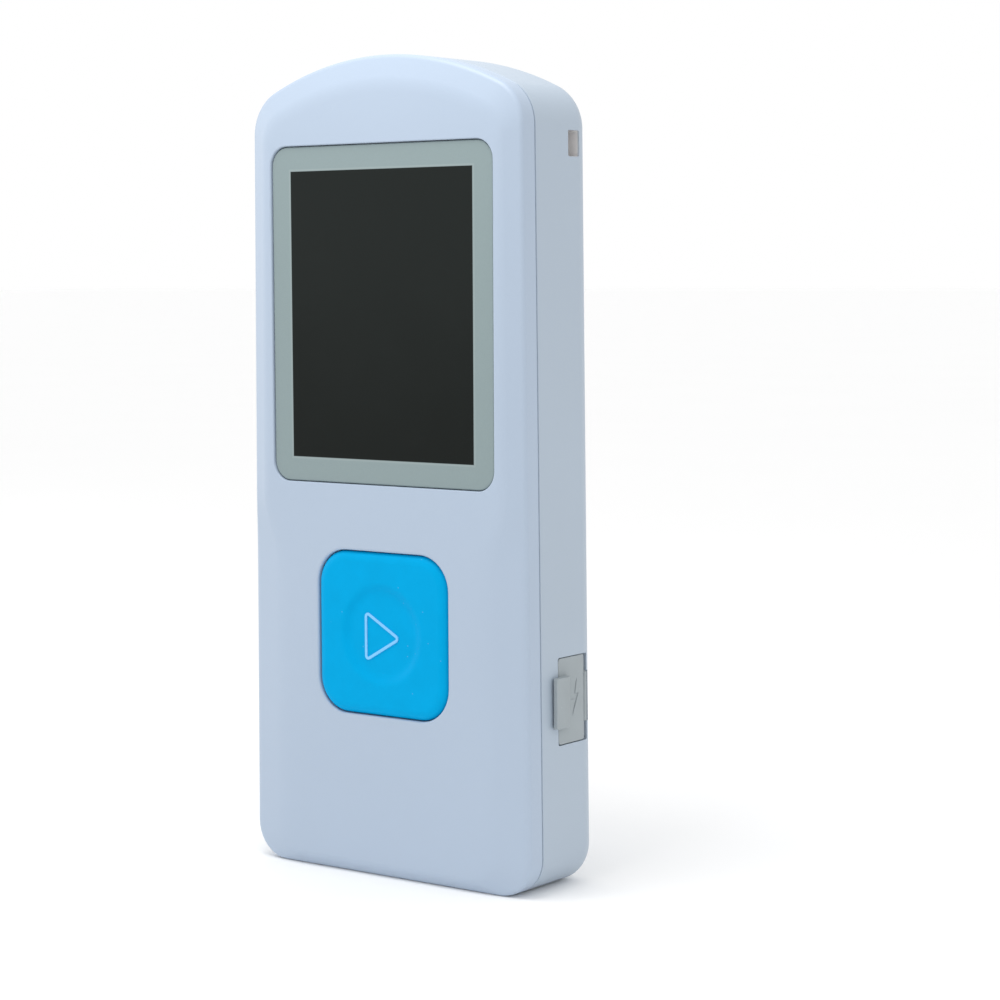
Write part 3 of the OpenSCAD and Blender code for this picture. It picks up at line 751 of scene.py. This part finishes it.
def rear_shell():
    """Rear cover: rounded outside, hollow with screw posts, and the cuts in its right side."""
    bm = bmesh.new()
    groove = drawn_in(GROOVE)
    groove_y = SEAM_Y + 0.16
    turns = [i * QUARTER / 12 for i in range(13)]
    outer = [
        outline(bm, SEAM_Y, drawn_in(WALL)), outline(bm, SEAM_Y, groove), outline(bm, groove_y, groove),
        outline(bm, groove_y, drawn_in(0.06)), outline(bm, groove_y + 0.06, FULL),
    ] + [
        outline(bm, BACK_Y - BACK_EDGE * (1 - math.sin(a)), FULL.mix(BACK_FLAT, 1 - math.cos(a)))
        for a in turns
    ]
    thick_y = BACK_FLOOR_Y - 1.4
    hollow = [
        outline(bm, SEAM_Y, drawn_in(WALL)), outline(bm, thick_y, drawn_in(WALL)),
        outline(bm, thick_y, drawn_in(WALL + 1)), outline(bm, BACK_FLOOR_Y, drawn_in(WALL + 1)),
    ]
    skin(bm, outer)
    skin(bm, hollow)

    feet, wells = [], []
    post_y = board_high.y + 0.05
    seat_y = BACK_Y - WELL_DEEP
    for x, z in SCREWS:
        post = [
            round_loop(bm, y, x, z, r)
            for y, r in (
                (BACK_FLOOR_Y, POST_R), (post_y, POST_R), (post_y, CLEAR_R), (seat_y, CLEAR_R),
                (seat_y, WELL_R), (BACK_Y - 0.12, WELL_R), (BACK_Y, WELL_R + 0.12),
            )
        ]
        skin(bm, post)
        feet.append(post[0])
        wells.append(post[-1])
    buzzer = (buzzer_low + buzzer_high) / 2
    for i in range(5):
        away = SOUND_RING_R if i else 0.0
        turn = math.radians(45 + 90 * i)
        x = buzzer.x + away * math.cos(turn)
        z = buzzer.z + away * math.sin(turn)
        hole = [
            round_loop(bm, y, x, z, r, 16)
            for y, r in ((BACK_FLOOR_Y, SOUND_R), (BACK_Y - 0.1, SOUND_R), (BACK_Y, SOUND_R + 0.1))
        ]
        skin(bm, hole)
        feet.append(hole[0])
        wells.append(hole[-1])
    label = (label_low + label_high) / 2
    size = label_high - label_low
    seat = [
        rounded_loop(bm, y, label.x, label.z, size.x + 2 * gap, size.z + 2 * gap, LABEL_R + gap, 6)
        for y, gap in ((BACK_Y, LABEL_GAP + 0.1), (BACK_Y - 0.1, LABEL_GAP), (label_low.y, LABEL_GAP))
    ]
    skin(bm, seat)
    fill(bm, seat[-1])
    fill(bm, outer[-1], seat[0], *wells)
    fill(bm, hollow[-1], *feet)
    shell = mesh_object(bm, "rear_shell")

    # walls inside: round the port, behind the flap's root, and the strap tunnel
    bm = bmesh.new()
    frame_z = about(PORT_Z, PORT_HALF + PORT_WALL)
    block(bm, (18.9, 20.3), (flap_low.y + 0.85, ANCHOR_HIGH_Y), frame_z)
    block(bm, (18.1, 20.0), (4.3, ANCHOR_HIGH_Y), frame_z)
    tunnel_y, tunnel_z = (board_high.y + 0.1, BACK_FLOOR_Y + 0.4), about(SLOT_Z, SLOT_H / 2 + SLOT_WALL)
    block(bm, (SLOT_X - 1, 19.4), tunnel_y, tunnel_z)
    carve(shell, mesh_object(bm, "inner_blocks"), "UNION")

    # cuts: recess for the flap, socket mouth, notch for the flap's root, strap slot and its back mouth
    bm = bmesh.new()
    past = 2
    socket_y = (socket_low.y - SOCKET_GAP, socket_high.y + SOCKET_GAP)
    block(bm, (flap_low_x() - 0.1, HALF + past), PORT_Y, about(PORT_Z, PORT_HALF), 0.3)
    block(bm, (14.2, HALF), socket_y, about(PORT_Z, SOCKET_HALF), 0.4)
    block(bm, (19.3, HALF + past), (FLAP_Y[1], ANCHOR_HIGH_Y), about(PORT_Z, LUG_HALF))
    slot_z = about(SLOT_Z, SLOT_H / 2)
    block(bm, (SLOT_X, HALF + past), SLOT_Y, slot_z, 0.25)
    block(bm, (SLOT_X, SLOT_BAR_X), (SLOT_Y[0], BACK_Y + past), slot_z)
    carve(shell, mesh_object(bm, "side_cuts"))
    return finish_piece(shell, "housing", "rear_shell", rear_plastic, "rear_cover")


def flap_low_x():
    """Inner face of the port flap's plate."""
    return half_width(PORT_Z) - FLAP_THICK


def lens():
    """Flat panel with a fine bevel round its face."""
    bm = bmesh.new()
    thick = lens_high.y - lens_low.y
    loops = [
        rounded_loop(bm, lens_low.y + y, LENS_X, LENS_Z, LENS_W - 2 * gap, LENS_H - 2 * gap, LENS_R - gap)
        for gap, y in [*fillet((0.18, 0), (0.03, 0), (0.0, 0.15), 4), (0, thick)]
    ]
    skin(bm, loops)
    fill(bm, loops[0])
    fill(bm, loops[-1])
    panel = mesh_object(bm, "lens_panel")
    return finish_piece(panel, "housing", "lens", lens_panel, "display_lens")


def button():
    """Soft button: rounded face, finger dish, retaining flange and a stem over the switch."""
    bm = bmesh.new()
    top = pad_low.y
    near_y, far_y = FACE_Y + 1.9, FACE_Y + 2.6
    flange_w, flange_r = PAD_W + 2.4, 5.0
    hollow_w, hollow_r = PAD_W - 3, 3.0
    loops = [
        rounded_loop(bm, top + y, 0, PAD_Z, PAD_W - 2 * gap, PAD_W - 2 * gap, PAD_R - gap)
        for gap, y in fillet((1.3, 0), (0.35, 0.02), (0.0, 0.75), 8)
    ] + [
        rounded_loop(bm, y, 0, PAD_Z, w, w, r)
        for y, w, r in (
            (near_y, PAD_W, PAD_R), (near_y, flange_w, flange_r), (far_y, flange_w, flange_r),
            (far_y, hollow_w, hollow_r), (PAD_HOLLOW_Y, hollow_w, hollow_r),
        )
    ]
    skin(bm, loops)
    stem = [round_loop(bm, y, 0, PAD_Z, PAD_STEM_R) for y in (PAD_HOLLOW_Y, pad_high.y)]
    skin(bm, stem)
    fill(bm, stem[-1])
    fill(bm, loops[-1], stem[0])
    rim = fillet((6.5, 0), (6.1, 0.0), (5.75, 0.16), 4)
    foot = fillet((5.45, 0.3), (5.1, 0.42), (4.6, 0.43), 4)
    dish = [round_loop(bm, top + depth, 0, PAD_Z, r, 64) for r, depth in rim + foot]
    skin(bm, dish)
    fill(bm, loops[0], dish[0])
    fill(bm, dish[-1])
    pad = mesh_object(bm, "scan_pad")
    return finish_piece(pad, "button", "button_rubber", pad_rubber, "scan_button")


def play_sign():
    """Outlined triangle with round corners, moulded into the dish."""
    bm = bmesh.new()
    r, stroke, soft = 0.5, 0.36, 0.04
    rise = (sign_high.z - sign_low.z) / 2 - r
    mid_z = (sign_low.z + sign_high.z) / 2
    corners = [(sign_low.x + r, -rise), (sign_high.x - r, 0), (sign_low.x + r, rise)]

    def ring(y, grow):
        """Band of arcs round the three corners, each joined to the next by a straight run."""
        with NewEdges(bm) as new:
            pen = first = None
            for i, corner in enumerate(corners):
                before, after = Vector(corners[i - 1]), Vector(corners[(i + 1) % 3])
                into, out = (Vector(corner) - before).normalized(), (after - Vector(corner)).normalized()
                start = Vector(corner) + Vector((into.y, -into.x)) * grow
                at = (start.x, y, mid_z + start.y)
                pen = line(bm, pen, at) if pen else bm.verts.new(at)
                first = first or pen
                turn = math.acos(into.dot(out))
                pen = spin(bm, pen, (corner[0], y, mid_z + corner[1]), -turn, 8)
            pen = line(bm, pen, first.co)
            bmesh.ops.pointmerge(bm, verts=[pen, first], merge_co=first.co)
        return new.edges()

    face, edge, deep = sign_low.y, sign_low.y + soft, sign_high.y
    loops = [
        ring(y, grow)
        for y, grow in (
            (deep, r), (edge, r), (face, r - soft),
            (face, r - stroke + soft), (edge, r - stroke), (deep, r - stroke),
        )
    ]
    skin(bm, loops + loops[:1])
    sign = mesh_object(bm, "play_sign")
    return finish_piece(sign, "button", "symbol_print", sign_plastic, "scan_symbol")


def extruded(bm, corners, way):
    """Solid made from one flat face, pushed out along a way."""
    face = bm.faces.new([bm.verts.new(corner) for corner in corners])
    moved = bmesh.ops.extrude_face_region(bm, geom=[face])["geom"]
    bmesh.ops.translate(bm, vec=way, verts=[v for v in moved if isinstance(v, bmesh.types.BMVert)])


def flap():
    """Rubber port cover: plate that follows the rear edge, pull tab, lug and a bolt sign."""
    bm = bmesh.new()
    out_x = half_width(PORT_Z)
    low_y, high_y = FLAP_Y
    mid_y, wide, tall = (low_y + high_y) / 2, high_y - low_y, flap_high.z - flap_low.z
    soft = 0.14
    profile = [(0, FLAP_THICK), (0, soft)] + fillet((0, soft), (0, 0), (soft, 0), 3)[1:]
    plate = [
        rounded_loop(bm, depth - out_x, mid_y, PORT_Z, wide - 2 * gap, tall - 2 * gap, FLAP_R - gap, 5)
        for gap, depth in profile
    ]
    skin(bm, plate)
    fill(bm, plate[0])
    fill(bm, plate[-1])
    for i in range(6):
        at = 3.6 + 0.3 * i
        everything = bm.verts[:] + bm.edges[:] + bm.faces[:]
        bmesh.ops.bisect_plane(bm, geom=everything, plane_co=(at, 0, 0), plane_no=(1, 0, 0))
    bmesh.ops.rotate(bm, verts=bm.verts, cent=(0, 0, 0), matrix=Matrix.Rotation(QUARTER, 3, "Z"))
    for v in bm.verts:
        fall = FLAP_FALL * min(max((v.co.y - high_y) / FLAP_FALL_RUN + 1, 0), 1)
        v.co.x -= fall * (v.co.x - flap_low_x()) / FLAP_THICK + TAPER * (v.co.z - PORT_Z)
    cover = mesh_object(bm, "port_flap")

    bm = bmesh.new()
    tab = [(0.13, -1.55), (0.3, -1.85), (0.85, -1.85), (0.95, -1.4), (0.92, 0.5), (0.55, 1.15), (-0.2, 1.4),
           (-0.2, -0.35), (0.13, -0.35)]
    extruded(bm, [(out_x + x, y, PORT_Z - TAB_HALF) for x, y in tab], (0, 0, 2 * TAB_HALF))
    bmesh.ops.bevel(bm, geom=bm.edges[:], offset=0.1, segments=3, profile=0.5, affect="EDGES", material=-1)
    carve(cover, mesh_object(bm, "tab"), "UNION")

    bm = bmesh.new()
    lug_y = about((socket_low.y + socket_high.y) / 2, LUG_THICK / 2)
    block(bm, (socket_high.x - 0.4, flap_low_x() + 0.2), lug_y, about(PORT_Z, LUG_HALF), 0.3)
    carve(cover, mesh_object(bm, "lug"), "UNION")

    bm = bmesh.new()
    place = Matrix.Translation((flap_low_x() + 0.6, high_y + 0.05, PORT_Z))
    bmesh.ops.create_cone(
        bm, cap_ends=True, radius1=BEAD_R, radius2=BEAD_R, depth=6, segments=24, matrix=place,
    )
    carve(cover, mesh_object(bm, "hinge_bead"), "UNION")

    bm = bmesh.new()
    bolt = [(0.55, 2.4), (-0.75, -0.25), (-0.1, -0.25), (-0.5, -2.3), (0.85, 0.45), (0.15, 0.45)]
    extruded(bm, [(out_x - 0.1, 2.9 + y, PORT_Z + 0.2 + z) for y, z in bolt], (1, 0, 0))
    carve(cover, mesh_object(bm, "bolt_sign"))
    return finish_piece(cover, "port_flap", "port_rubber", flap_rubber, "port_cover")


def label():
    """Blank rating plate with a fine bevel."""
    bm = bmesh.new()
    mid = (label_low + label_high) / 2
    size = label_high - label_low
    loops = [
        rounded_loop(bm, y, mid.x, mid.z, size.x - 2 * gap, size.z - 2 * gap, LABEL_R - gap, 6)
        for gap, y in ((0, label_low.y), (0, label_high.y - 0.05), (0.05, label_high.y))
    ]
    skin(bm, loops)
    fill(bm, loops[0])
    fill(bm, loops[-1])
    return finish_piece(mesh_object(bm, "rating_plate"), "housing", "label_film",
                        film("blank_label_film", (0.70, 0.74, 0.79)), "rear_label")


def dress(material, *nodes):
    """Gives frame nodes their material."""
    for name in nodes:
        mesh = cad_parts[name].data
        mesh.materials.clear()
        mesh.materials.append(material)


front_shell()
rear_shell()
lens()
button()
play_sign()
flap()
label()
dress(flap_rubber, "port_cover_anchor")
dress(steel, "display_frame", "switch_cover")
dress(spring_steel, "switch_dome")
dress(can_metal, "usb_shell", "crystal")
dress(gold, "usb_contacts")
dress(zinc, "case_screws")
dress(black_nylon, "usb_tongue", "switch_base", "coil_former", "buzzer")
dress(ivory_nylon, "flex_connector", "switch_plunger", "battery_plug", "battery_header")
dress(black_foam, "lens_tape", "display_gasket", "display_spacer", "buzzer_gasket")
dress(white_foam, "battery_pad")
dress(panel_glass, "display_glass")
dress(diffuser, "display_backlight")
dress(lead_rubber, "battery_leads")
dress(amber_film("ribbon_film"), "display_flex")
dress(circuit_board("board_resist"), "main_board")
dress(chip_epoxy("chip_epoxy"), "board_chips")
dress(tinned_ceramic("tinned_ceramic"), "board_passives")
dress(foil_pouch("cell_foil"), "battery")
dress(wound_copper("wound_copper"), "antenna_coil", "antenna_leads")


# ---- Floor, light and camera ----

def pale_floor():
    """Wide, nearly white floor that carries the contact shadow."""
    bm = bmesh.new()
    bmesh.ops.create_grid(bm, x_segments=2, y_segments=2, size=9000)
    floor = mesh_object(bm, "floor")
    f = Finish("pale_floor", Specular_IOR_Level=0.1)
    f.set(f.surface, {
        "Base_Color": f.mix(f.noise(0.01, 3), (0.975, 0.975, 0.975), (0.99, 0.99, 0.99)),
        "Roughness": 0.7 + f.noise(0.05) * 0.1,
    })
    floor.data.materials.append(f.material)


def softbox(name, place, aim, size, power):
    """Square area light that faces a point; places and size in metres, power in watts."""
    lamp = bpy.data.lights.new(name, "AREA")
    lamp.size = size
    lamp.energy = power
    obj = bpy.data.objects.new(name, lamp)
    bpy.context.scene.collection.objects.link(obj)
    obj.location = place
    obj.rotation_euler = (Vector(place) - Vector(aim)).to_track_quat("Z", "Y").to_euler()


def studio():
    """White surroundings, a small lamp over the crown and a wide one to the left."""
    world = bpy.data.worlds.new("studio")
    world.use_nodes = True
    sky = world.node_tree.nodes["Background"]
    sky.inputs["Color"].default_value = (1, 1, 1, 1)
    sky.inputs["Strength"].default_value = 1.0
    bpy.context.scene.world = world
    crown, middle = (0, 0, 0.098), (0, 0, 0.05)
    softbox("top_box", (0.0, -0.045, 0.175), crown, 0.06, 0.07)
    softbox("left_box", (-0.5, -0.12, 0.12), middle, 0.3, 0.35)
    bpy.context.scene.view_settings.view_transform = "Standard"


def camera():
    """View from the right of the front, a little above, with a slight roll."""
    turn, rise, roll = (math.radians(angle) for angle in (VIEW_TURN, VIEW_RISE, VIEW_ROLL))
    target = Vector(VIEW_TARGET) * MM
    back = Vector((math.sin(turn) * math.cos(rise), -math.cos(turn) * math.cos(rise), math.sin(rise)))
    right = Vector((math.cos(turn), math.sin(turn), 0))
    up = back.cross(right)
    across = right * math.cos(roll) + up * math.sin(roll)
    upward = up * math.cos(roll) - right * math.sin(roll)
    optics = bpy.data.cameras.new("camera")
    optics.sensor_width = 36
    optics.lens = VIEW_LENS
    optics.clip_start = 0.01
    obj = bpy.data.objects.new("camera", optics)
    bpy.context.scene.collection.objects.link(obj)
    axes = Matrix((across, upward, back)).transposed().to_4x4()
    obj.matrix_world = Matrix.Translation(target + back * VIEW_DISTANCE * MM) @ axes
    bpy.context.scene.camera = obj


pale_floor()
studio()
camera()
